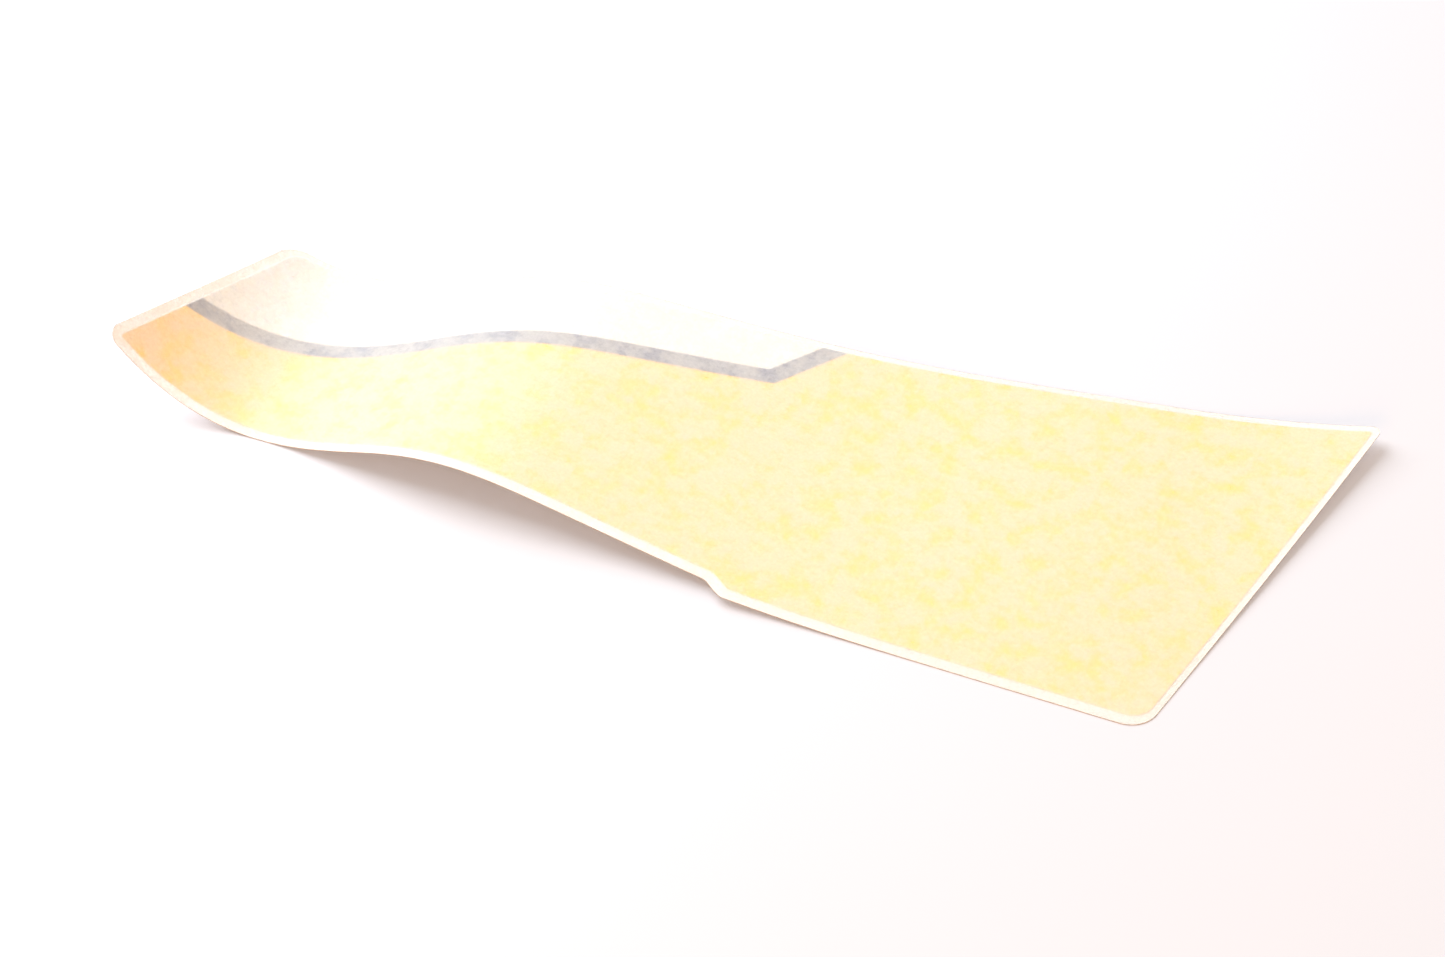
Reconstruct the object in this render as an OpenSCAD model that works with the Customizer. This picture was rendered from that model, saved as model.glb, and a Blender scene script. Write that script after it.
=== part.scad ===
// Premasked transfer decal: a printed, kiss-cut film between a release liner and
// a translucent application paper. The stack is one thin sheet, curled up at its
// narrow end, arched over a low crest and lifted at its far right corner.
//
// The outline is drawn flat, with X along the long near edge and Y across the
// sheet, and the flat sheet is then bent along straight folds. Every layer is
// bent along the same folds, so neighbouring layers meet face to face.

/* [Cut outline] */
// Near edge, from the narrow tip to the right corner
near_length = 343; // [310:1:420]
// How far the narrow tip sits in from the near edge line
tip_rise = 7; // [4:0.5:14]
// Width of the narrow end, square to the near edge line
left_width = 79; // [65:1:95]
// Width of the wide end, square to the near edge line
right_width = 140; // [120:1:168]
// Lean of the narrow end over its width
left_slant = 28; // [15:1:36]
// Lean of the wide end over its width
right_slant = 35; // [20:1:46]
// Start of the notch, from the narrow tip
notch_start = 211; // [170:1:256]
// Length of the notch ramp
notch_run = 6; // [4:0.5:10]
// Depth of the notch
notch_depth = 4.1; // [2:0.1:5]
// Inward bow of the near edge between the tip and the notch
near_bow = 3.7; // [0:0.1:6]
// Inward bow of the far edge
far_bow = 0.4; // [0:0.1:5]

/* [Corner radii] */
// Narrow tip
tip_radius = 4; // [2:0.5:6]
// Narrow end, far corner
far_left_radius = 11; // [4:0.5:14]
// Wide end, near corner
near_right_radius = 9; // [4:0.5:12]
// Wide end, far corner
far_right_radius = 2.5; // [1:0.5:5]
// Both corners of the notch
notch_radius = 4; // [1:0.5:5]

/* [Border] */
// Paper border along the near edge
near_margin = 3.7; // [2:0.1:5]
// Paper border along the far edge
far_margin = 2.4; // [1.5:0.1:5]
// Paper border at the wide end
right_margin = 2.2; // [1.5:0.1:5]
// Paper border at the narrow end
left_margin = 3.4; // [2:0.1:5]

/* [Stripe] */
// Width of the grey stripe
stripe_width = 5.9; // [4:0.1:8]
// Height of the stripe's centreline over the near edge line, at the tip
stripe_start = 36.6; // [30:0.2:44]
// Angle of the long leg to the near edge line
stripe_angle = 15.4; // [12:0.1:16.5]
// Distance of the kink from the tip, along the near edge line
kink_at = 197; // [160:0.5:240]
// Angle of the short leg to the near edge line
kink_angle = 56.5; // [40:1:70]

/* [Layer thicknesses] */
// Paper of the release liner
liner_paper_t = 0.15; // [0.08:0.01:0.3]
// Silicone release coat on the liner
release_coat_t = 0.02; // [0.01:0.01:0.04]
// Pressure-sensitive adhesive
adhesive_t = 0.03; // [0.02:0.01:0.06]
// White vinyl film
film_t = 0.08; // [0.05:0.01:0.15]
// Printed ink
print_t = 0.02; // [0.01:0.01:0.04]
// Clear overlay over the print
overlay_t = 0.03; // [0.02:0.01:0.08]
// Low-tack adhesive of the application paper
tack_coat_t = 0.02; // [0.01:0.01:0.05]
// Application paper
premask_paper_t = 0.10; // [0.06:0.01:0.2]
// Air left at the two faces that part: adhesive on liner, and tack coat on overlay
parting_gap = 0.01; // [0.005:0.005:0.03]

/* [Curl of the narrow end] */
// Angle the curl turns through
curl_turn = 84.5; // [40:0.5:100]
// Where the curl would start, from the tip
curl_start = -33; // [-60:1:-10]
// Length the curl takes
curl_length = 144; // [110:1:180]

/* [Crest] */
// Angle the crest turns through
crest_turn = 28.4; // [15:0.5:36]
// Start of the crest, from the tip
crest_start = 78; // [60:1:110]
// Length of the crest
crest_length = 86; // [60:1:110]

/* [Settling on the table] */
// Angle of the last, slow bend
settle_turn = 9; // [4:0.1:12]
// Start of that bend, from the tip
settle_start = 138; // [120:1:200]
// Flat gap between that bend and the corner lift, along the far edge
flat_gap = 14.6; // [1:0.2:20]

/* [Lift of the far right corner] */
// Angle the corner lifts through
lift_turn = 9.5; // [0.5:0.5:16]
// Length of the lift, measured in from the corner
lift_length = 57; // [30:1:66]
// Direction of the lift, from the near edge line
lift_direction = 12; // [8:1:45]

/* [Hidden] */

// Spacing of the folds, and the number of folds in the corner lift
fold_step = 6;
lift_folds = 8;
// Segments in a bowed edge and in a corner arc
bow_segments = 12;
arc_segments = 7;
// Folds nearer than this to an outline point are not doubled
same_place = 0.05;

// ---- heights of the layers above the liner's underside ----
release_h = liner_paper_t;
release_top = release_h + release_coat_t;
adhesive_h = release_top + parting_gap;
film_h = adhesive_h + adhesive_t;
print_h = film_h + film_t;
overlay_h = print_h + print_t;
overlay_top = overlay_h + overlay_t;
tack_h = overlay_top + parting_gap;
premask_h = tack_h + tack_coat_t;
stack_h = premask_h + premask_paper_t;

// ---- flat outlines ----
// The cut outline's sharp corners, counterclockwise from the narrow tip. Edge k
// runs from corner k to the next one.
cut_corners = [
    [0, tip_rise],
    [notch_start, notch_depth],
    [notch_start + notch_run, 0],
    [near_length, 0],
    [near_length + right_slant, right_width],
    [left_slant, tip_rise + left_width]];
edge_bows = [near_bow, 0, 0, 0, far_bow, 0];
edge_margins = [near_margin, near_margin, near_margin, right_margin, far_margin, left_margin];
cut_radii = [tip_radius, notch_radius, notch_radius, near_right_radius,
             far_right_radius, far_left_radius];
// A film corner keeps its distance from a convex cut corner, but stays a little round
least_radius = 0.8;
film_radii = [for (k = [0:5]) k == 1 ? notch_radius + near_margin
              : k == 2 ? max(least_radius, notch_radius - near_margin / 2)
              : max(least_radius, cut_radii[k] - edge_margins[k])];

function unit(v) = v / norm(v);
function inward(v) = [-v.y, v.x];
function next(k, list) = list[(k + 1) % len(list)];
function before(k, list) = list[(k + len(list) - 1) % len(list)];
function cross2(a, b) = a.x * b.y - a.y * b.x;

// Where the line through p along u meets the line through q along v
function meet(p, u, q, v) = p + u * cross2(q - p, v) / cross2(u, v);

// The corners of the same shape with each edge moved in by its margin
function inset_corners(corners, margins) = [for (k = [0:len(corners) - 1])
    let (u = unit(corners[k] - before(k, corners)), v = unit(next(k, corners) - corners[k]))
    meet(corners[k] + inward(u) * before(k, margins), u, corners[k] + inward(v) * margins[k], v)];

// Inner points of an edge from p to q that bows inward by bow at its middle
function bowed(p, q, bow) = bow == 0 ? [] :
    [for (i = [1:bow_segments - 1]) let (t = i / bow_segments)
        p + (q - p) * t + inward(unit(q - p)) * bow * 4 * t * (1 - t)];

// Direction of a bowed edge where it leaves p, and where it reaches q
function leaving(p, q, bow) = unit(q - p + inward(unit(q - p)) * bow * 4);
function reaching(p, q, bow) = unit(q - p - inward(unit(q - p)) * bow * 4);

// An arc of radius r that rounds the corner c between directions u and v
function corner_arc(c, u, v, r) =
    let (bend = atan2(cross2(u, v), u * v), reach = r * tan(abs(bend) / 2),
         side = bend > 0 ? 1 : -1, centre = c - u * reach + inward(u) * r * side)
    [for (i = [0:arc_segments]) let (a = bend * i / arc_segments, out = -inward(u) * r * side)
        centre + [out.x * cos(a) - out.y * sin(a), out.x * sin(a) + out.y * cos(a)]];

// The whole outline, counterclockwise
function outline(corners, bows, radii) = [for (k = [0:len(corners) - 1])
    let (c = corners[k], a = before(k, corners), b = next(k, corners))
    each concat(
        corner_arc(c, reaching(a, c, before(k, bows)), leaving(c, b, bows[k]), radii[k]),
        bowed(c, b, bows[k]))];

film_corners = inset_corners(cut_corners, edge_margins);
cut_ring = outline(cut_corners, edge_bows, cut_radii);
film_ring = outline(film_corners, edge_bows, film_radii);

// ---- the two chains of a ring, both from its left end to its right end ----
function left_end(ring) = [for (k = [0:len(ring) - 1])
    if (ring[k].x == min([for (p = ring) p.x])) k][0];
function right_end(ring) = [for (k = [0:len(ring) - 1])
    if (ring[k].x == max([for (p = ring) p.x])) k][0];
function near_chain(ring) = let (a = left_end(ring), b = right_end(ring), n = len(ring))
    [for (k = [0:(b - a + n) % n]) ring[(a + k) % n]];
function far_chain(ring) = let (a = left_end(ring), b = right_end(ring), n = len(ring))
    [for (k = [0:(a - b + n) % n]) ring[(a - k + n) % n]];

// How far point p is past a line through c[0] whose normal points at angle c[1]
function past(c, p) = (p - c[0]) * [cos(c[1]), sin(c[1])];

// Where a chain crosses such a line
function crossing(chain, c) =
    let (k = [for (i = [0:len(chain) - 2])
                 if (past(c, chain[i]) < 0 && past(c, chain[i + 1]) >= 0) i][0],
         a = past(c, chain[k]), b = past(c, chain[k + 1]))
    chain[k] + (chain[k + 1] - chain[k]) * a / (a - b);
function crosses(chain, c) = past(c, chain[0]) < 0 && past(c, chain[len(chain) - 1]) > 0;

// ---- stripe and yellow field, cut out of the film's outline ----
long_leg = [cos(stripe_angle), sin(stripe_angle)];
short_leg = [cos(kink_angle), sin(kink_angle)];
kink = [kink_at, stripe_start + kink_at * tan(stripe_angle)];
half_stripe = stripe_width / 2;
film_far = far_chain(film_ring);

// Corner of one side of the stripe at its kink; side is 1 for the far side, -1 for the near one
function kink_corner(side) = meet(kink + inward(long_leg) * half_stripe * side, long_leg,
                                  kink + inward(short_leg) * half_stripe * side, short_leg);
// Ends of that side: on the film's narrow end, and on its far edge
function stripe_left(side) = crossing(film_far, [kink_corner(side), stripe_angle + 90]);
function stripe_right(side) = crossing(film_far, [kink_corner(side), kink_angle - 90]);

// Points of the film's far chain between two x, from right to left
function film_far_between(from_x, to_x) = let (n = len(film_far))
    [for (k = [n - 1:-1:1]) if (film_far[k].x > from_x && film_far[k].x < to_x) film_far[k]];

stripe_ring = concat(
    [stripe_left(-1), kink_corner(-1), stripe_right(-1)],
    film_far_between(stripe_right(1).x, stripe_right(-1).x),
    [stripe_right(1), kink_corner(1), stripe_left(1)]);
yellow_ring = concat(
    near_chain(film_ring),
    film_far_between(stripe_right(-1).x, film_far[len(film_far) - 1].x),
    [stripe_right(-1), kink_corner(-1), stripe_left(-1)],
    film_far_between(0, stripe_left(-1).x));

// ---- folds ----
// A fold is [point on it, angle of its normal, angle it turns up through].
lift_normal = [cos(lift_direction), sin(lift_direction)];
corner_folds = [for (k = [0:lift_folds - 1])
    [cut_corners[4] - lift_normal * lift_length * (1 - k / lift_folds),
     lift_direction, lift_turn / lift_folds]];
flat_from = crossing(far_chain(cut_ring), corner_folds[0]).x - flat_gap;
function ease(u) = u <= 0 ? 0 : u >= 1 ? 1 : u - sin(360 * u) / (2 * PI);
function slope(x) = curl_turn * ease((x - curl_start) / curl_length)
    - crest_turn * ease((x - crest_start) / crest_length)
    + settle_turn * ease((x - settle_start) / (flat_from - settle_start));
function fold_at(x) = [[x, 0], 0, slope(x + fold_step / 2) - slope(x - fold_step / 2)];
last_fold = floor((flat_from - fold_step / 2) / fold_step);
long_folds = [for (k = [1:last_fold]) fold_at(k * fold_step)];

// Lines without a turn, at the outline's own points, so that each strip is a plain quad
function is_new_place(x) = x > same_place && x < last_fold * fold_step - same_place
    && abs(x - fold_step * round(x / fold_step)) > same_place;
function plain_folds(ring) = [for (p = ring) if (is_new_place(p.x)) [[p.x, 0], 0, 0]];
function by_place(folds) = len(folds) < 2 ? folds :
    let (middle = folds[floor(len(folds) / 2)], x = middle[0].x)
    concat(by_place([for (f = folds) if (f[0].x < x - same_place) f]), [middle],
           by_place([for (f = folds) if (f[0].x > x + same_place) f]));

// ---- bending ----
IN_PLACE = [[1, 0, 0, 0], [0, 1, 0, 0], [0, 0, 1, 0], [0, 0, 0, 1]];
function shifted(p) = [[1, 0, 0, p.x], [0, 1, 0, p.y], [0, 0, 1, 0], [0, 0, 0, 1]];
function about_z(a) = [[cos(a), -sin(a), 0, 0], [sin(a), cos(a), 0, 0], [0, 0, 1, 0], [0, 0, 0, 1]];
function about_y(a) = [[cos(a), 0, sin(a), 0], [0, 1, 0, 0], [-sin(a), 0, cos(a), 0], [0, 0, 0, 1]];
function folding(f, turn) = shifted(f[0]) * about_z(f[1]) * about_y(turn) * about_z(-f[1])
    * shifted(-f[0]);

// Pose of every strip between folds. The strip after the long folds stays on the table.
function left_poses(folds, n) = [for (k = n, m = IN_PLACE; k >= 0;
    m = k > 0 ? m * folding(folds[k - 1], folds[k - 1][2]) : m, k = k - 1) m];
function right_poses(folds, n) = [for (k = n, m = IN_PLACE; k < len(folds);
    m = m * folding(folds[k], -folds[k][2]), k = k + 1)
    m * folding(folds[k], -folds[k][2])];
function strip_poses(folds, n) = let (left = left_poses(folds, n))
    concat([for (k = [n:-1:0]) left[k]], right_poses(folds, n));

// Normal of a strip, and the offset direction at the fold between two strips
function normal(m) = [m[0][2], m[1][2], m[2][2]];
function mitre(m, n) = (normal(m) + normal(n)) / (1 + normal(m) * normal(n));
function placed(m, p) = let (q = m * [p.x, p.y, 0, 1]) [q.x, q.y, q.z];

// A chain as [point, first strip, last strip]; a point on a fold is in two strips
function chain_places(chain, folds) = let (n = len(folds)) [for (k = [0:n])
    each concat(
        [for (p = chain) if ((k == 0 || past(folds[k - 1], p) > same_place / 100)
                             && (k == n || past(folds[k], p) < -same_place / 100)) [p, k, k]],
        k < n ? [[crossing(chain, folds[k]), k, k + 1]] : [])];
function reversed(list) = [for (k = [len(list) - 1:-1:0]) list[k]];
function inner(list) = [for (k = [1:len(list) - 2]) list[k]];

// The folds that cross a ring, and the poses of its strips, as [folds, poses]
function ring_bend(ring) =
    let (near = near_chain(ring), far = far_chain(ring),
         square = by_place(concat(long_folds, plain_folds(ring))),
         folds = concat(square, corner_folds), poses = strip_poses(folds, len(square)),
         used = [for (k = [0:len(folds) - 1]) if (crosses(near, folds[k]) && crosses(far, folds[k])) k])
    [[for (k = used) folds[k]], [for (k = [used[0]:used[len(used) - 1] + 1]) poses[k]]];
function ring_places(ring, folds) = concat(
    chain_places(near_chain(ring), folds),
    reversed(inner(chain_places(far_chain(ring), folds))));
function ring_points(places, poses, h) = [for (r = places)
    placed(poses[r[1]], r[0]) + mitre(poses[r[1]], poses[r[2]]) * h];

// ---- where the bent sheet stands ----
cut_bend = ring_bend(cut_ring);
cut_places = ring_places(cut_ring, cut_bend[0]);
sheet_points = concat(ring_points(cut_places, cut_bend[1], 0),
                      ring_points(cut_places, cut_bend[1], stack_h));
function low(axis) = min([for (p = sheet_points) p[axis]]);
function high(axis) = max([for (p = sheet_points) p[axis]]);
stand = [-(low(0) + high(0)) / 2, -(low(1) + high(1)) / 2, -low(2)];

// ---- one layer: a ring between two heights, bent along the folds ----
module bent_layer(ring, from_h, to_h) {
    bend = ring_bend(ring);
    places = ring_places(ring, bend[0]);
    n = len(places);
    strips = [for (k = [0:len(bend[0])])
        [for (i = [0:n - 1]) if (places[i][1] == k || places[i][2] == k) i]];
    over = [for (s = strips) [for (i = reversed(s)) i + n]];
    walls = [for (i = [0:n - 1]) let (j = (i + 1) % n) [i, i + n, j + n, j]];
    translate(stand)
        polyhedron(
            points = concat(ring_points(places, bend[1], from_h), ring_points(places, bend[1], to_h)),
            faces = concat(strips, over, walls),
            convexity = 6);
}

// ---- sub-parts ----
module liner_paper() { color("ivory") bent_layer(cut_ring, 0, release_h); }
module liner_release_coat() { color("whitesmoke") bent_layer(cut_ring, release_h, release_top); }
module adhesive_layer() { color("gainsboro") bent_layer(film_ring, adhesive_h, film_h); }
module base_film() { color("white") bent_layer(film_ring, film_h, print_h); }
module yellow_print_panel() { color("khaki") bent_layer(yellow_ring, print_h, overlay_h); }
module grey_print_stripe() { color("silver") bent_layer(stripe_ring, print_h, overlay_h); }
module clear_overlay() { color("white", 0.3) bent_layer(film_ring, overlay_h, overlay_top); }
module premask_tack_coat() { color("white", 0.3) bent_layer(cut_ring, tack_h, premask_h); }
module premask_paper() { color("lightyellow", 0.5) bent_layer(cut_ring, premask_h, stack_h); }

liner_paper();
liner_release_coat();
adhesive_layer();
base_film();
yellow_print_panel();
grey_print_stripe();
clear_overlay();
premask_tack_coat();
premask_paper();
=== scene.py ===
"""Looks of a premasked transfer decal: a printed film between a release liner and translucent paper.

Every layer is cut from one flat outline, given the same bends, and laid on the layer below it. Flat
sizes are in millimetres, with X along the long near edge and Y across the sheet. What Blender gets
is in metres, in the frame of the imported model.
"""

from __future__ import annotations

import logging
import math
from dataclasses import dataclass, field
from enum import Enum

import bpy
import numpy as np
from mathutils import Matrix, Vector
from mathutils.geometry import delaunay_2d_cdt

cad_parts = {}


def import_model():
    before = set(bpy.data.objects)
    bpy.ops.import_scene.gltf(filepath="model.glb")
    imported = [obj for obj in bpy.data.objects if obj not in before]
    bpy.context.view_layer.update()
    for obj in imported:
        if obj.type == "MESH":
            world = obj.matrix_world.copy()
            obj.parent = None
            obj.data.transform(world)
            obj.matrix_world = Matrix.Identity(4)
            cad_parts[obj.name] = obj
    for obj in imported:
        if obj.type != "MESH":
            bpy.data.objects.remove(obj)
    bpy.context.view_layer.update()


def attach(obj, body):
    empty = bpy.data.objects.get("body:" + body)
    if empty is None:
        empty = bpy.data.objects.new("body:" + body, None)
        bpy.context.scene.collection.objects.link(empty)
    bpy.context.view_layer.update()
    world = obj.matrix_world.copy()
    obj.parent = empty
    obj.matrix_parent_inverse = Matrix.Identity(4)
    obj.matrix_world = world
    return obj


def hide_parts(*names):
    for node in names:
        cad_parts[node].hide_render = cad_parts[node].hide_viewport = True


LOG = logging.getLogger("decal")
MM = 0.001
PARABOLA = 4.0
PARALLEL = 1e-9
SAME_PLACE = 1e-6
LEAST_SLOPE = 1e-12
INSIDE_OUTLINE = 1
FULL = (0.0, 1.0)
MIDDLE = (0.3, 0.7)
TRANSPARENT_BOUNCES = 48
DIFFUSE_BOUNCES = 12
Colour = tuple[float, float, float]


# ---------------------------------------------------------------- flat outlines


def unit(v: np.ndarray) -> np.ndarray:
    """Returns v at length 1."""
    return v / np.linalg.norm(v)


def inward(v: np.ndarray) -> np.ndarray:
    """Returns v turned a quarter turn to the left, into a counterclockwise outline."""
    return np.array([-v[1], v[0]])


def cross(a: np.ndarray, b: np.ndarray) -> float:
    """Returns the cross product of two flat vectors."""
    return float(a[0] * b[1] - a[1] * b[0])


def heading(degrees: float) -> np.ndarray:
    """Returns the flat direction at an angle from X."""
    return np.array([math.cos(math.radians(degrees)), math.sin(math.radians(degrees))])


def meet(p: np.ndarray, u: np.ndarray, q: np.ndarray, v: np.ndarray) -> np.ndarray:
    """Finds where two lines meet.

    Args:
        p: A point of the first line.
        u: The first line's direction.
        q: A point of the second line.
        v: The second line's direction.

    Returns:
        The common point.
    """
    return p + u * cross(q - p, v) / cross(u, v)


@dataclass(frozen=True)
class Outline:
    """A closed outline of nearly straight edges with round corners.

    Attributes:
        corners: Sharp corners, counterclockwise from the narrow tip.
        bows: How far the middle of each edge bows inward.
        radii: Radius that rounds each corner.
        bow_segments: Straight parts of each edge.
        arc_segments: Straight parts of each round corner.
    """

    corners: list[np.ndarray]
    bows: list[float]
    radii: list[float]
    bow_segments: int = 24
    arc_segments: int = 12

    def inset(self, margins: list[float], radii: list[float]) -> Outline:
        """Moves each edge in by its own margin.

        Args:
            margins: Distance for each edge.
            radii: Corner radii of the new outline.

        Returns:
            The smaller outline.
        """
        moved = []
        for k, corner in enumerate(self.corners):
            u = unit(corner - self.corners[k - 1])
            v = unit(self.corners[(k + 1) % len(self.corners)] - corner)
            before = corner + inward(u) * margins[k - 1]
            moved.append(meet(before, u, corner + inward(v) * margins[k], v))
        return Outline(moved, self.bows, radii, self.bow_segments, self.arc_segments)

    def points(self) -> np.ndarray:
        """Follows the outline.

        Returns:
            Its points, counterclockwise.
        """
        found: list[np.ndarray] = []
        for k, corner in enumerate(self.corners):
            last = self.corners[k - 1]
            following = self.corners[(k + 1) % len(self.corners)]
            reaching = unit(corner - last - inward(unit(corner - last)) * self.bows[k - 1] * PARABOLA)
            leaving = unit(following - corner + inward(unit(following - corner)) * self.bows[k] * PARABOLA)
            found += self._arc(corner, reaching, leaving, self.radii[k])
            found += self._bowed(corner, following, self.bows[k])
        return np.array(found)

    def _arc(self, c: np.ndarray, u: np.ndarray, v: np.ndarray, r: float) -> list[np.ndarray]:
        """Rounds a corner.

        Args:
            c: The sharp corner.
            u: Direction in which the outline reaches it.
            v: Direction in which the outline leaves it.
            r: Radius of the arc.

        Returns:
            The arc's points.
        """
        bend = math.atan2(cross(u, v), float(u @ v))
        side = 1.0 if bend > 0 else -1.0
        centre = c - u * r * math.tan(abs(bend) / 2) + inward(u) * r * side
        start = -inward(u) * r * side
        turns = [bend * i / self.arc_segments for i in range(self.arc_segments + 1)]
        return [
            centre
            + [
                start[0] * math.cos(a) - start[1] * math.sin(a),
                start[0] * math.sin(a) + start[1] * math.cos(a),
            ]
            for a in turns
        ]

    def _bowed(self, p: np.ndarray, q: np.ndarray, bow: float) -> list[np.ndarray]:
        """Returns the inner points of the edge from p to q, which bows inward."""
        shares = [i / self.bow_segments for i in range(1, self.bow_segments)]
        return [p + (q - p) * t + inward(unit(q - p)) * bow * PARABOLA * t * (1 - t) for t in shares]


@dataclass(frozen=True)
class CutSizes:
    """Sizes of the cut sheet, laid flat."""

    near_length: float = 343.0
    tip_rise: float = 7.0
    left_width: float = 79.0
    right_width: float = 140.0
    left_slant: float = 28.0
    right_slant: float = 35.0
    notch_start: float = 211.0
    notch_run: float = 6.0
    notch_depth: float = 4.1
    near_bow: float = 3.7
    far_bow: float = 0.4
    tip_radius: float = 4.0
    far_left_radius: float = 11.0
    near_right_radius: float = 9.0
    far_right_radius: float = 2.5
    notch_radius: float = 4.0

    def outline(self) -> Outline:
        """Lays out the corners, bows and radii.

        Returns:
            The cut outline.
        """
        corners = [
            (0.0, self.tip_rise),
            (self.notch_start, self.notch_depth),
            (self.notch_start + self.notch_run, 0.0),
            (self.near_length, 0.0),
            (self.near_length + self.right_slant, self.right_width),
            (self.left_slant, self.tip_rise + self.left_width),
        ]
        radii = [
            self.tip_radius,
            self.notch_radius,
            self.notch_radius,
            self.near_right_radius,
            self.far_right_radius,
            self.far_left_radius,
        ]
        bows = [self.near_bow, 0.0, 0.0, 0.0, self.far_bow, 0.0]
        return Outline([np.array(c) for c in corners], bows, radii)


@dataclass(frozen=True)
class Border:
    """The paper border round the printed film."""

    near: float = 3.7
    far: float = 2.4
    right: float = 2.2
    left: float = 3.4
    least_radius: float = 0.8

    def film(self, cut: Outline) -> Outline:
        """Sets the film inside the border.

        Args:
            cut: The cut outline.

        Returns:
            The film's outline.
        """
        margins = [self.near, self.near, self.near, self.right, self.far, self.left]
        radii = [max(self.least_radius, r - m) for r, m in zip(cut.radii, margins, strict=True)]
        radii[1] = cut.radii[1] + self.near
        radii[2] = max(self.least_radius, cut.radii[2] - self.near / 2)
        return cut.inset(margins, radii)


@dataclass(frozen=True)
class Stripe:
    """The grey stripe: a long leg from the narrow end, a kink, and a short leg to the far edge."""

    width: float = 5.9
    start: float = 36.6
    angle: float = 15.4
    kink_at: float = 197.0
    kink_angle: float = 56.5

    def _side(self, side: int) -> tuple[np.ndarray, np.ndarray, np.ndarray]:
        """Finds the corner that one side of the stripe makes at the kink.

        Args:
            side: 1 for the far side, -1 for the near side.

        Returns:
            The corner, and the directions of the long and the short leg.
        """
        long_leg, short_leg = heading(self.angle), heading(self.kink_angle)
        kink = np.array([self.kink_at, self.start + self.kink_at * math.tan(math.radians(self.angle))])
        half = self.width / 2 * side
        corner = meet(kink + inward(long_leg) * half, long_leg, kink + inward(short_leg) * half, short_leg)
        return corner, long_leg, short_leg

    def split(self, film: np.ndarray) -> tuple[np.ndarray, np.ndarray]:
        """Cuts the film's outline into the stripe and the yellow field.

        Args:
            film: Points of the film's outline, counterclockwise.

        Returns:
            The outlines of the stripe and of the yellow field.
        """
        far_corner, long_leg, short_leg = self._side(1)
        near_corner, _, _ = self._side(-1)
        top = {1: far_corner, -1: near_corner}
        left = {s: ray_hit(film, top[s], -long_leg) for s in (1, -1)}
        right = {s: ray_hit(film, top[s], short_leg) for s in (1, -1)}
        far_right = ring_between(film, right[-1], right[1])
        narrow_end = ring_between(film, left[1], left[-1])
        stripe = [left[-1][1], near_corner, right[-1][1], *far_right, right[1][1], far_corner]
        stripe += [left[1][1], *narrow_end]
        field_edge = ring_between(film, left[-1], right[-1])
        yellow = [left[-1][1], *field_edge, right[-1][1], near_corner]
        return np.array(stripe), np.array(yellow)


def ray_hit(ring: np.ndarray, start: np.ndarray, along: np.ndarray) -> tuple[float, np.ndarray]:
    """Finds where a ray first leaves a closed outline.

    Args:
        ring: The outline's points.
        start: A point inside it.
        along: The ray's direction.

    Returns:
        The place on the outline, as a point's number plus a share of the edge after it, and the point.
    """
    hits = []
    for k, p in enumerate(ring):
        edge = ring[(k + 1) % len(ring)] - p
        slant = cross(along, edge)
        if abs(slant) > PARALLEL:
            reach = cross(p - start, edge) / slant
            share = cross(p - start, along) / slant
            if reach > 0 and 0 <= share < 1:
                hits.append((reach, k + share, p + edge * share))
    _, place, point = min(hits, key=lambda hit: hit[0])
    return place, point


def ring_between(
    ring: np.ndarray, first: tuple[float, np.ndarray], last: tuple[float, np.ndarray]
) -> list[np.ndarray]:
    """Picks the outline's own points that lie between two places on it.

    Args:
        ring: The outline's points.
        first: The first place and its point, as ray_hit gives them.
        last: The last place and its point.

    Returns:
        The points between them, in order.
    """
    count = len(ring)
    span = (last[0] - first[0]) % count
    following = [math.floor(first[0]) + 1 + i for i in range(count)]
    return [ring[k % count] for k in following if SAME_PLACE < k - first[0] < span - SAME_PLACE]


def divided(ring: np.ndarray, step: float) -> np.ndarray:
    """Adds points so that no edge is longer than step.

    Args:
        ring: The outline's points.
        step: The greatest length of an edge.

    Returns:
        The outline with the added points.
    """
    found = []
    for p, q in zip(ring, np.roll(ring, -1, axis=0), strict=True):
        parts = max(1, math.ceil(np.linalg.norm(q - p) / step))
        found += [p + (q - p) * i / parts for i in range(parts)]
    return np.array(found)


def distance_to(ring: np.ndarray, places: np.ndarray) -> np.ndarray:
    """Measures how far places are from an outline.

    Args:
        ring: The outline's points.
        places: Flat places, one row each.

    Returns:
        The distance of each, negative inside the outline.
    """
    starts, ends = ring, np.roll(ring, -1, axis=0)
    edge = ends - starts
    to_place = places[:, None, :] - starts[None]
    share = np.clip((to_place * edge).sum(-1) / (edge**2).sum(-1), 0, 1)
    gap = np.linalg.norm(to_place - share[..., None] * edge, axis=-1).min(1)
    x, y = places[:, 0][:, None], places[:, 1][:, None]
    spans = (starts[:, 1] > y) != (ends[:, 1] > y)
    slope = np.where(edge[:, 1] == 0, LEAST_SLOPE, edge[:, 1])
    crossings = spans & (x < edge[:, 0] * (y - starts[:, 1]) / slope + starts[:, 0])
    inside = crossings.sum(1) % 2 == 1
    return np.where(inside, -gap, gap)


def widened(ring: np.ndarray, by: float) -> np.ndarray:
    """Moves an outline outward by a small distance.

    Args:
        ring: The outline's points.
        by: The distance.

    Returns:
        The wider outline, with as many points.
    """
    along = np.roll(ring, -1, axis=0) - np.roll(ring, 1, axis=0)
    along /= np.linalg.norm(along, axis=1, keepdims=True)
    return ring + np.column_stack([along[:, 1], -along[:, 0]]) * by


# ---------------------------------------------------------------- bends


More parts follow.
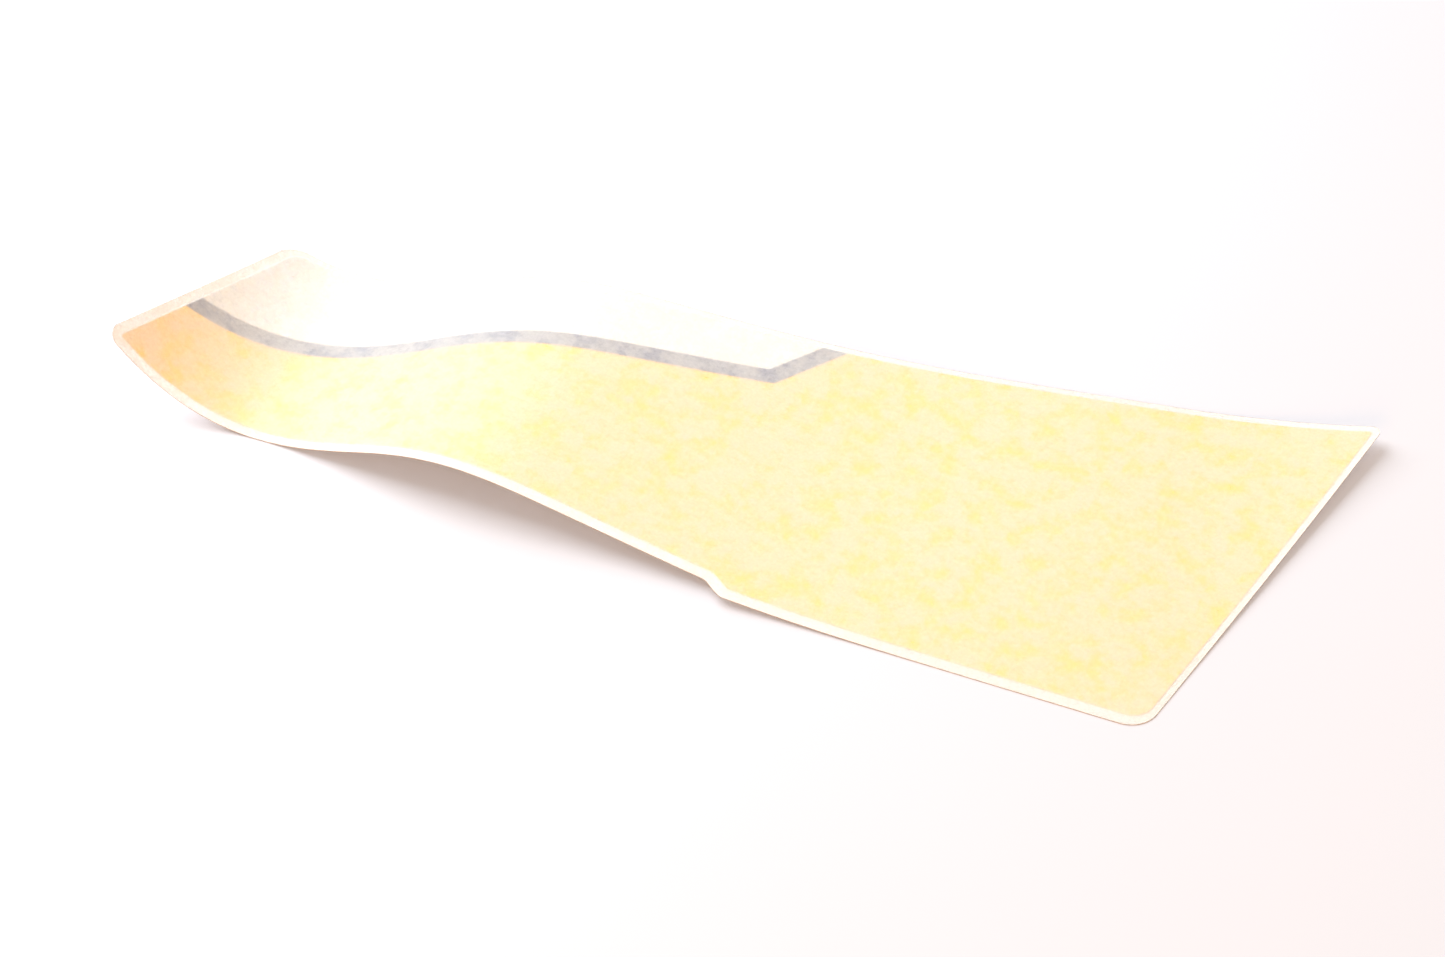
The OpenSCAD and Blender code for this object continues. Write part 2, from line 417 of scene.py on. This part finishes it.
@dataclass(frozen=True)
class Turn:
    """One smooth bend across the sheet: its angle in degrees, its start and its length."""

    angle: float
    start: float
    length: float

    def at(self, x: np.ndarray) -> np.ndarray:
        """Returns the angle turned by x, in degrees."""
        u = np.clip((x - self.start) / self.length, 0, 1)
        return self.angle * (u - np.sin(2 * math.pi * u) / (2 * math.pi))


@dataclass(frozen=True)
class Lift:
    """The lift of the far right corner.

    Attributes:
        corner: The corner, sharp.
        angle: How steep the sheet gets, in degrees.
        length: How far the bend runs.
        direction: Direction in which the sheet rises, in degrees from X.
        first_step: How much earlier than its length the bend starts.
    """

    corner: np.ndarray
    angle: float = 9.5
    length: float = 57.0
    direction: float = 12.0
    first_step: float = 3.56

    def normal(self) -> np.ndarray:
        """Returns the flat direction in which the sheet rises."""
        return heading(self.direction)


@dataclass(frozen=True)
class Bends:
    """The bends across the sheet, from its narrow end to where it lies flat."""

    curl: Turn = Turn(84.5, -33.0, 144.0)
    arch: Turn = Turn(-28.4, 78.0, 86.0)
    settle_angle: float = 9.0
    settle_start: float = 138.0
    flat_from: float = 307.0
    first_station: float = -5.0
    station_step: float = 0.25

    def turns(self) -> list[Turn]:
        """Returns the bends, from the narrow end."""
        settle = Turn(self.settle_angle, self.settle_start, self.flat_from - self.settle_start)
        return [self.curl, self.arch, settle]


class Lie:
    """How the sheet lies: curled up at its narrow end, arched, flat, and lifted at one corner."""

    def __init__(self, sizes: CutSizes, bends: Bends) -> None:
        """Works out the profile once.

        Args:
            sizes: Sizes of the cut sheet.
            bends: The bends across it.
        """
        corner = np.array([sizes.near_length + sizes.right_slant, sizes.right_width])
        self.lift = Lift(corner)
        self.flat_from = bends.flat_from
        self.turns = bends.turns()
        last_station = self.flat_from + bends.station_step / 2
        self.stations = np.arange(bends.first_station, last_station, bends.station_step)
        angle = self._angle(self.stations)
        step = np.diff(self.stations)
        run = np.cos((angle[1:] + angle[:-1]) / 2) * step
        rise = np.sin((angle[1:] + angle[:-1]) / 2) * step
        self.run = self.flat_from - np.append(np.cumsum(run[::-1])[::-1], 0.0)
        self.rise = np.append(np.cumsum(rise[::-1])[::-1], 0.0)
        self.stand = np.zeros(3)

    def _angle(self, x: np.ndarray) -> np.ndarray:
        """Returns how steeply the sheet rises to the left at x, in radians."""
        end = sum(t.at(np.array(self.flat_from)) for t in self.turns)
        return np.radians(end - sum(t.at(np.minimum(x, self.flat_from)) for t in self.turns))

    def place(self, flat: np.ndarray, height: np.ndarray) -> np.ndarray:
        """Bends flat points.

        Args:
            flat: Places on the flat sheet, one row each.
            height: Height of each above the liner's underside.

        Returns:
            The points of the bent sheet, one row each.
        """
        x, y = flat[:, 0], flat[:, 1]
        angle = self._angle(x)
        left = x < self.flat_from
        out = np.column_stack(
            [
                np.where(left, np.interp(x, self.stations, self.run), x) + np.sin(angle) * height,
                y,
                np.where(left, np.interp(x, self.stations, self.rise), 0.0) + np.cos(angle) * height,
            ]
        )
        up = self.lift.normal()
        start = self.lift.length + self.lift.first_step
        past = np.maximum((flat - self.lift.corner) @ up + start, 0.0)
        radius = self.lift.length / math.radians(self.lift.angle)
        tilt = past / radius
        along = radius * np.sin(tilt) - past - np.sin(tilt) * height
        out[:, :2] += along[:, None] * up
        out[:, 2] += radius * (1 - np.cos(tilt)) + (np.cos(tilt) - 1) * height
        return out + self.stand

    def centre_on(self, ring: np.ndarray, stack: float) -> None:
        """Moves the sheet so that its box is centred over the origin.

        Args:
            ring: The cut outline.
            stack: Thickness of the whole stack.
        """
        both = [self.place(ring, np.full(len(ring), h)) for h in (0.0, stack)]
        places = np.vstack(both)
        middle = (places.min(0) + places.max(0)) / 2
        self.stand = np.array([-middle[0], -middle[1], 0.0])


# ---------------------------------------------------------------- finishes


class Tree:
    """A material's node tree, built a node at a time."""

    def __init__(self, name: str) -> None:
        """Starts a material with one Principled shader.

        Args:
            name: The material's name.
        """
        self.material = bpy.data.materials.new(name)
        self.material.use_nodes = True
        self.nodes = self.material.node_tree.nodes
        self.nodes.clear()
        self.out = self.nodes.new("ShaderNodeOutputMaterial")
        self.shader = self.nodes.new("ShaderNodeBsdfPrincipled")
        self.link(self.shader.outputs[0], self.out.inputs[0])
        self.coordinates = self.nodes.new("ShaderNodeTexCoord").outputs["Object"]

    def link(self, source: bpy.types.NodeSocket, target: bpy.types.NodeSocket) -> None:
        """Joins two sockets."""
        self.material.node_tree.links.new(source, target)

    def set(self, **values: float | tuple[float, ...]) -> None:
        """Sets sockets of the shader, named with _ for a space."""
        for name, value in values.items():
            self.shader.inputs[name.replace("_", " ")].default_value = value

    def noise(self, scale: float, detail: float = 3.0, roughness: float = 0.55) -> bpy.types.NodeSocket:
        """Adds noise in the piece's own space.

        Args:
            scale: Waves in a metre.
            detail: Octaves of finer noise.
            roughness: Strength of the finer noise.

        Returns:
            The noise, from 0 to 1.
        """
        node = self.nodes.new("ShaderNodeTexNoise")
        node.inputs["Scale"].default_value = scale
        node.inputs["Detail"].default_value = detail
        node.inputs["Roughness"].default_value = roughness
        self.link(self.coordinates, node.inputs["Vector"])
        return node.outputs["Fac"]

    def ranged(
        self, value: bpy.types.NodeSocket, span: tuple[float, float], to: tuple[float, float]
    ) -> bpy.types.NodeSocket:
        """Maps a value smoothly from one range to another.

        Args:
            value: The value.
            span: Its range.
            to: The range wanted.

        Returns:
            The mapped value.
        """
        node = self.nodes.new("ShaderNodeMapRange")
        node.interpolation_type = "SMOOTHSTEP"
        self.link(value, node.inputs[0])
        for k, number in enumerate((*span, *to)):
            node.inputs[k + 1].default_value = number
        return node.outputs[0]

    def blend(self, share: bpy.types.NodeSocket, a: Colour, b: Colour) -> bpy.types.NodeSocket:
        """Mixes two colours.

        Args:
            share: How much of b, from 0 to 1.
            a: The first colour.
            b: The second colour.

        Returns:
            The mixed colour.
        """
        node = self.nodes.new("ShaderNodeMix")
        node.data_type = "RGBA"
        self.link(share, node.inputs[0])
        node.inputs[6].default_value = (*a, 1.0)
        node.inputs[7].default_value = (*b, 1.0)
        return node.outputs[2]

    def product(self, a: bpy.types.NodeSocket, b: bpy.types.NodeSocket) -> bpy.types.NodeSocket:
        """Multiplies two values.

        Args:
            a: One value.
            b: The other value.

        Returns:
            The product.
        """
        node = self.nodes.new("ShaderNodeMath")
        node.operation = "MULTIPLY"
        self.link(a, node.inputs[0])
        self.link(b, node.inputs[1])
        return node.outputs[0]

    def colour(self, share: bpy.types.NodeSocket, a: Colour, b: Colour) -> None:
        """Gives the shader a colour that goes from a to b with share."""
        self.link(self.blend(share, a, b), self.shader.inputs["Base Color"])

    def rough(self, value: bpy.types.NodeSocket, middle: float, spread: float) -> None:
        """Gives the shader a roughness that drifts with a value, by spread to either side of middle."""
        roughness = self.ranged(value, MIDDLE, (middle - spread, middle + spread))
        self.link(roughness, self.shader.inputs["Roughness"])

    def let_light_in(self, path: float, reach: Colour = (1.0, 1.0, 1.0)) -> None:
        """Lets light in as far as path, in metres, if that isn't 0; reach is the share of each colour."""
        if path:
            self.set(Subsurface_Weight=1.0, Subsurface_Scale=path, Subsurface_Radius=reach)

    def bump(self, height: bpy.types.NodeSocket, depth: float) -> None:
        """Gives the shader relief.

        Args:
            height: The relief, from 0 to 1.
            depth: Its depth in metres.
        """
        node = self.nodes.new("ShaderNodeBump")
        node.inputs["Strength"].default_value = 1.0
        node.inputs["Distance"].default_value = depth
        self.link(height, node.inputs["Height"])
        self.link(node.outputs[0], self.shader.inputs["Normal"])


@dataclass(frozen=True)
class Paper:
    """Plain paper, which lets light through if it has a light path."""

    name: str
    light: Colour
    dark: Colour
    fibre_scale: float = 900.0
    roughness: float = 0.75
    spread: float = 0.08
    specular: float = 0.3
    tooth: float = 0.00001
    light_path: float = 0.0005
    fibre_range: tuple[float, float] = (0.35, 0.65)

    def material(self) -> bpy.types.Material:
        """Makes the finish.

        Returns:
            Its material.
        """
        tree = Tree(self.name)
        fibres = tree.noise(self.fibre_scale, detail=4.0, roughness=0.65)
        tree.colour(tree.ranged(fibres, self.fibre_range, FULL), self.dark, self.light)
        tree.rough(fibres, self.roughness, self.spread)
        tree.bump(fibres, self.tooth)
        tree.set(Specular_IOR_Level=self.specular)
        tree.let_light_in(self.light_path)
        return tree.material


@dataclass(frozen=True)
class CloudedPaper:
    """Translucent application paper, whose opacity drifts with the clouds of its fibres.

    Attributes:
        name: The material's name.
        light: Colour of its lightest fibres.
        dark: Colour of its darkest fibres.
        thin: Opacity where the clouds are thinnest.
        thick: Opacity where they are thickest.
    """

    name: str
    light: Colour
    dark: Colour
    thin: float
    thick: float
    cloud_scale: float = 120.0
    fibre_scale: float = 1100.0
    roughness: float = 0.62
    spread: float = 0.08
    specular: float = 0.3
    tooth: float = 0.000012
    light_path: float = 0.00015
    cloud_range: tuple[float, float] = (0.28, 0.6)
    fleck_range: tuple[float, float] = (0.25, 0.75)
    fleck: tuple[float, float] = (0.9, 1.1)

    def material(self) -> bpy.types.Material:
        """Makes the finish.

        Returns:
            Its material.
        """
        tree = Tree(self.name)
        clouds = tree.noise(self.cloud_scale, detail=9.0, roughness=0.68)
        fibres = tree.noise(self.fibre_scale, detail=3.0, roughness=0.6)
        opacity = tree.ranged(clouds, self.cloud_range, (self.thin, self.thick))
        flecks = tree.ranged(fibres, self.fleck_range, self.fleck)
        tree.link(tree.product(opacity, flecks), tree.shader.inputs["Alpha"])
        tree.colour(tree.ranged(fibres, MIDDLE, FULL), self.dark, self.light)
        tree.rough(clouds, self.roughness, self.spread)
        tree.bump(fibres, self.tooth)
        tree.set(Specular_IOR_Level=self.specular)
        tree.let_light_in(self.light_path)
        return tree.material


@dataclass(frozen=True)
class Film:
    """A smooth plastic film or an ink on it, which lets light in if it has a light path."""

    name: str
    light: Colour
    dark: Colour
    grain_scale: float = 1400.0
    roughness: float = 0.4
    spread: float = 0.05
    grain: float = 0.000003
    light_path: float = 0.0002
    reach: Colour = (1.0, 0.85, 0.7)

    def material(self) -> bpy.types.Material:
        """Makes the finish.

        Returns:
            Its material.
        """
        tree = Tree(self.name)
        grain = tree.noise(self.grain_scale, detail=2.0)
        tree.colour(tree.ranged(grain, MIDDLE, FULL), self.dark, self.light)
        tree.rough(grain, self.roughness, self.spread)
        tree.bump(grain, self.grain)
        tree.let_light_in(self.light_path, self.reach)
        return tree.material


@dataclass(frozen=True)
class ClearCoat:
    """A thin clear coat or film: glossy and nearly invisible."""

    name: str
    tint: Colour
    opacity: float
    roughness: float
    ripple_scale: float = 500.0
    ripple: float = 0.000004
    spread: float = 0.05
    thin_share: float = 0.8
    thick_share: float = 1.2
    shade: float = 0.9

    def material(self) -> bpy.types.Material:
        """Makes the finish.

        Returns:
            Its material.
        """
        tree = Tree(self.name)
        ripple = tree.noise(self.ripple_scale, detail=2.0)
        opacity = (self.opacity * self.thin_share, self.opacity * self.thick_share)
        tree.link(tree.ranged(ripple, MIDDLE, opacity), tree.shader.inputs["Alpha"])
        tree.rough(ripple, self.roughness, self.spread)
        tree.colour(ripple, self.tint, tuple(self.shade * c for c in self.tint))
        tree.bump(ripple, self.ripple)
        return tree.material


# ---------------------------------------------------------------- layers


class Rider(Enum):
    """The bodies that the layers move with."""

    LINER = "liner"
    DECAL = "decal"
    PREMASK = "premask"


@dataclass
class Stack:
    """Thicknesses of the layers, from the table up, and the heights that they give."""

    liner_paper: float = 0.15
    release_coat: float = 0.02
    air_under_film: float = 0.01
    adhesive: float = 0.03
    film: float = 0.08
    ink: float = 0.02
    overlay: float = 0.03
    air_under_premask: float = 0.01
    tack_coat: float = 0.02
    premask_paper: float = 0.10

    def span(self, layer: str) -> tuple[float, float]:
        """Finds the heights between which a layer lies.

        Args:
            layer: Name of its field.

        Returns:
            The heights of its two faces.
        """
        names = list(self.__dataclass_fields__)
        low = sum(getattr(self, n) for n in names[: names.index(layer)])
        return low, low + getattr(self, layer)

    def height(self) -> float:
        """Returns the thickness of the whole stack."""
        return sum(getattr(self, n) for n in self.__dataclass_fields__)


@dataclass
class Layer:
    """One layer: its outline, its place in the stack, and its finish.

    Attributes:
        node: The CAD node that it stands for, which is also its name.
        slot: Name of a material slot; not used.
        rider: The body that it moves with.
        ring: Its flat outline.
        span: Heights of its two faces.
        finish: Finish of its faces.
        edge: Finish of its cut edge, or None for the same.
        step_over: The film's outline, if the layer steps down past it onto the liner.
        step_drop: How far it steps down there.
        is_sheet: True if it is a sheet of its own and not a coat; not used.
        lies_on: Names of what it lies on; not used.
        grid: Spacing of the mesh, in millimetres like all lengths here.
        clear: Distance that grid points keep from the outline.
        ring_clear: Distance that they keep from the rings of the step.
        gap: How far each face stays inside its span.
        step_width: Width of the step.
        step_rings: Where in the step's width it has a ring of points.
        merge: Distance under which points count as one.
        sharp: Angle from which an edge is drawn sharp, in degrees.
    """

    node: str
    slot: str
    rider: Rider
    ring: np.ndarray
    span: tuple[float, float]
    finish: Paper | CloudedPaper | Film | ClearCoat
    edge: Paper | None = None
    step_over: np.ndarray | None = None
    step_drop: float = 0.0
    is_sheet: bool = False
    lies_on: list[str] = field(default_factory=list)
    grid: float = 2.0
    clear: float = 0.6
    ring_clear: float = 0.15
    gap: float = 0.002
    step_width: float = 0.5
    step_rings: tuple[float, ...] = (0.0, 0.33, 0.67, 1.0)
    merge: float = 1e-6
    sharp: float = 40.0

    def _flat_mesh(self) -> tuple[np.ndarray, list[list[int]]]:
        """Fills the outline with triangles.

        Returns:
            The flat points, and the triangles as numbers of points.
        """
        rings = [divided(self.ring, self.grid)]
        if self.step_over is not None:
            edge = divided(self.step_over, self.grid)
            rings += [widened(edge, self.step_width * s) for s in self.step_rings]
        low, high = self.ring.min(0), self.ring.max(0)
        xs = np.arange(math.ceil(low[0] / self.grid), high[0] / self.grid) * self.grid
        ys = np.arange(math.ceil(low[1] / self.grid), high[1] / self.grid) * self.grid
        grid = np.stack(np.meshgrid(xs, ys), -1).reshape(-1, 2)
        grid = grid[distance_to(self.ring, grid) < -self.clear]
        for ring in rings[1:]:
            grid = grid[np.abs(distance_to(ring, grid)) > self.ring_clear]
        points, edges = [], []
        for ring in rings:
            first = sum(len(r) for r in points)
            edges += [(first + k, first + (k + 1) % len(ring)) for k in range(len(ring))]
            points.append(ring)
        flat = np.vstack([*points, grid])
        outline = [list(range(len(rings[0])))]
        made = delaunay_2d_cdt([Vector(p) for p in flat], edges, outline, INSIDE_OUTLINE, self.merge)
        return np.array([tuple(p) for p in made[0]]), [list(f) for f in made[2]]

    def _heights(self, flat: np.ndarray, level: float) -> np.ndarray:
        """Works out one face's heights, with its step down past the film.

        Args:
            flat: Places on the flat sheet, one row each.
            level: The face's height over the film.

        Returns:
            Its height at each place.
        """
        if self.step_over is None:
            return np.full(len(flat), level)
        out = np.clip(distance_to(self.step_over, flat) / self.step_width, 0, 1)
        return level - self.step_drop * out * out * (3 - 2 * out)

    def build(self, lie: Lie) -> bpy.types.Object:
        """Makes the bent layer as a closed mesh.

        Args:
            lie: How the sheet lies.

        Returns:
            The new object, in metres.
        """
        flat, triangles = self._flat_mesh()
        count = len(flat)
        low, high = self.span[0] + self.gap, self.span[1] - self.gap
        under = lie.place(flat, self._heights(flat, low))
        over = lie.place(flat, self._heights(flat, high))
        rim = rim_edges(triangles)
        faces = [[c + count for c in t] for t in triangles]
        faces += [t[::-1] for t in triangles]
        walls = [[a, b, b + count, a + count] for a, b in rim]
        mesh = bpy.data.meshes.new(self.node)
        mesh.from_pydata((np.vstack([under, over]) * MM).tolist(), [], faces + walls)
        mesh.materials.append(self.finish.material())
        mesh.materials.append(self.edge.material() if self.edge else mesh.materials[0])
        is_wall = np.arange(len(mesh.polygons)) >= len(faces)
        mesh.polygons.foreach_set("material_index", is_wall.astype(np.int32))
        mesh.polygons.foreach_set("use_smooth", ~is_wall)
        mesh.update()
        mesh.set_sharp_from_angle(angle=math.radians(self.sharp))
        piece = bpy.data.objects.new(self.node + "_skin", mesh)
        bpy.context.scene.collection.objects.link(piece)
        return piece

    def attach(self, piece: bpy.types.Object) -> None:
        """Ties the piece to its body and hides the CAD node that it stands for.

        Args:
            piece: What build() made.
        """
        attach(piece, self.rider.value)
        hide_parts(self.node)


def rim_edges(triangles: list[list[int]]) -> list[tuple[int, int]]:
    """Returns the outer edges of a flat mesh, each in the direction of its triangle."""
    edges = {(t[k], t[(k + 1) % 3]) for t in triangles for k in range(3)}
    return sorted((a, b) for a, b in edges if (b, a) not in edges)


class Decal:
    """The whole stack of layers."""

    def __init__(self) -> None:
        """Works out the outlines and how the sheet lies."""
        sizes = CutSizes()
        cut = sizes.outline()
        self.stack = Stack()
        self.cut = cut.points()
        self.film = Border().film(cut).points()
        self.stripe, self.yellow = Stripe().split(self.film)
        self.lie = Lie(sizes, Bends())
        self.lie.centre_on(self.cut, self.stack.height())

    def layers(self) -> list[Layer]:
        """Lists the layers with their outlines and finishes.

        Returns:
            The layers, from the table up.
        """
        over_film = self.stack.span("tack_coat")[0] - self.stack.span("adhesive")[0]
        # The cut edges are painted a dark brown that is partly the colour of a kraft paper core and partly
        # painted shade on the unlit cut edge.
        kraft_and_shade_edge = Paper("cut_edge_kraft_and_shade", (0.50, 0.36, 0.26), (0.36, 0.24, 0.17), light_path=0.0)
        return [
            Layer(
                "liner_paper",
                "liner_paper",
                Rider.LINER,
                self.cut,
                self.stack.span("liner_paper"),
                Paper("liner_paper", (0.99, 0.985, 0.96), (0.975, 0.965, 0.935)),
                edge=kraft_and_shade_edge,
                is_sheet=True,
                lies_on=["floor"],
            ),
            Layer(
                "liner_release_coat",
                "release_coat",
                Rider.LINER,
                self.cut,
                self.stack.span("release_coat"),
                ClearCoat("release_coat", (0.97, 0.97, 0.96), 0.1, 0.25),
            ),
            Layer(
                "adhesive_layer",
                "adhesive",
                Rider.DECAL,
                self.film,
                self.stack.span("adhesive"),
                ClearCoat("adhesive", (0.93, 0.93, 0.90), 0.15, 0.3, ripple=0.00001),
            ),
            Layer(
                "base_film",
                "white_film",
                Rider.DECAL,
                self.film,
                self.stack.span("film"),
                Film("white_film", (0.98, 0.98, 0.97), (0.96, 0.96, 0.95)),
                is_sheet=True,
                lies_on=["liner_paper_skin"],
            ),
            Layer(
                "yellow_print_panel",
                "yellow_ink",
                Rider.DECAL,
                self.yellow,
                self.stack.span("ink"),
                Film("yellow_ink", (1.0, 0.685, 0.03), (1.0, 0.665, 0.02), light_path=0.0),
            ),
            Layer(
                "grey_print_stripe",
                "grey_ink",
                Rider.DECAL,
                self.stripe,
                self.stack.span("ink"),
                Film("grey_ink", (0.18, 0.195, 0.32), (0.12, 0.135, 0.24), light_path=0.0),
            ),
            Layer(
                "clear_overlay",
                "overlay",
                Rider.DECAL,
                self.film,
                self.stack.span("overlay"),
                ClearCoat("overlay", (0.97, 0.97, 0.97), 0.05, 0.15),
                is_sheet=True,
                lies_on=["base_film_skin"],
            ),
            Layer(
                "premask_tack_coat",
                "tack_coat",
                Rider.PREMASK,
                self.cut,
                self.stack.span("tack_coat"),
                ClearCoat("tack_coat", (0.96, 0.95, 0.92), 0.04, 0.5),
                step_over=self.film,
                step_drop=over_film,
            ),
            Layer(
                "premask_paper",
                "premask_paper",
                Rider.PREMASK,
                self.cut,
                self.stack.span("premask_paper"),
                CloudedPaper("premask_paper", (0.97, 0.895, 0.845), (0.96, 0.88, 0.825), 0.10, 0.36),
                edge=kraft_and_shade_edge,
                step_over=self.film,
                step_drop=over_film,
                is_sheet=True,
                lies_on=["clear_overlay_skin"],
            ),
        ]

    def make(self) -> None:
        """Builds, dresses and attaches every layer, and reports each."""
        for layer in self.layers():
            piece = layer.build(self.lie)
            layer.attach(piece)
            LOG.info("%s: %d faces, rides on %s", piece.name, len(piece.data.polygons), layer.rider.value)


# ---------------------------------------------------------------- studio


@dataclass(frozen=True)
class Eye:
    """The camera, standing off a target on the table."""

    target: tuple[float, float, float] = (0.0029, -0.0220, 0.0)
    azimuth: float = 22.5
    elevation: float = 44.03
    distance: float = 0.810
    lens: float = 67.27
    sensor_width: float = 36.0
    clip_start: float = 0.01

    def place(self) -> None:
        """Makes the camera and hands it to the scene."""
        data = bpy.data.cameras.new("camera")
        data.lens = self.lens
        data.sensor_width = self.sensor_width
        data.clip_start = self.clip_start
        camera = bpy.data.objects.new("camera", data)
        bpy.context.scene.collection.objects.link(camera)
        a, e = math.radians(self.azimuth), math.radians(self.elevation)
        back = Vector((math.sin(a) * math.cos(e), -math.cos(a) * math.cos(e), math.sin(e)))
        camera.location = Vector(self.target) + back * self.distance
        camera.rotation_mode = "QUATERNION"
        camera.rotation_quaternion = (-back).to_track_quat("-Z", "Y")
        bpy.context.scene.camera = camera


@dataclass(frozen=True)
class Softbox:
    """A large soft light.

    Attributes:
        name: Its name.
        heading: Where it stands, in degrees from +X towards +Y.
        elevation: Its height over the table, in degrees.
        distance: How far off it stands.
        size: Side of its square face.
        power: Watts.
        tint: Colour of its light.
    """

    name: str
    heading: float
    elevation: float
    distance: float
    size: float
    power: float
    tint: Colour = (1.0, 1.0, 1.0)

    def place(self) -> None:
        """Hangs the light, facing the object."""
        data = bpy.data.lights.new(self.name, "AREA")
        data.size = self.size
        data.energy = self.power
        data.color = self.tint
        lamp = bpy.data.objects.new(self.name, data)
        bpy.context.scene.collection.objects.link(lamp)
        a, e = math.radians(self.heading), math.radians(self.elevation)
        away = Vector((math.cos(a) * math.cos(e), math.sin(a) * math.cos(e), math.sin(e)))
        lamp.location = away * self.distance
        lamp.rotation_mode = "QUATERNION"
        lamp.rotation_quaternion = (-away).to_track_quat("-Z", "Y")


@dataclass(frozen=True)
class Studio:
    """The plain pale floor, the room's light and the softboxes."""

    floor_size: float = 6.0
    floor_light: Colour = (0.735, 0.73, 0.78)
    floor_dark: Colour = (0.715, 0.71, 0.76)
    floor_drift: float = 4.0
    floor_roughness: float = 0.6
    floor_specular: float = 0.3
    room: Colour = (1.0, 0.94, 0.88)
    room_strength: float = 0.68
    lamps: tuple[Softbox, ...] = (
        Softbox("key", 159.0, 43.0, 1.2, 1.1, 19.5, (0.92, 0.965, 1.0)),
        Softbox("fill", 5.0, 14.0, 2.4, 0.9, 12.0, (1.0, 0.64, 0.36)),
        Softbox("bounce", -90.0, 14.0, 2.5, 1.1, 38.0, (1.0, 0.56, 0.20)),
    )

    def place(self) -> None:
        """Builds the studio."""
        half = self.floor_size / 2
        mesh = bpy.data.meshes.new("floor")
        corners = [(-half, -half, 0), (half, -half, 0), (half, half, 0), (-half, half, 0)]
        mesh.from_pydata(corners, [], [(0, 1, 2, 3)])
        floor = bpy.data.objects.new("floor", mesh)
        mesh.materials.append(self._floor_finish())
        bpy.context.scene.collection.objects.link(floor)
        world = bpy.data.worlds.new("room")
        world.use_nodes = True
        background = world.node_tree.nodes["Background"]
        background.inputs["Color"].default_value = (*self.room, 1.0)
        background.inputs["Strength"].default_value = self.room_strength
        bpy.context.scene.world = world
        for lamp in self.lamps:
            lamp.place()

    def _floor_finish(self) -> bpy.types.Material:
        """Makes the pale, even finish of the floor.

        Returns:
            Its material.
        """
        tree = Tree("floor")
        tree.colour(tree.noise(self.floor_drift, detail=2.0), self.floor_light, self.floor_dark)
        tree.set(Roughness=self.floor_roughness, Specular_IOR_Level=self.floor_specular)
        return tree.material


def set_light_paths() -> None:
    """Lets light pass through the whole stack, and keeps the colours plain."""
    scene = bpy.context.scene
    scene.cycles.transparent_max_bounces = TRANSPARENT_BOUNCES
    scene.cycles.diffuse_bounces = DIFFUSE_BOUNCES
    scene.view_settings.view_transform = "Standard"
    scene.view_settings.look = "None"


def main() -> None:
    """Builds the camera, the studio and the decal."""
    logging.basicConfig(level=logging.INFO, format="%(message)s")
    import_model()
    Eye().place()
    Studio().place()
    set_light_paths()
    Decal().make()
    bpy.context.view_layer.update()


if __name__ == "__main__":
    main()
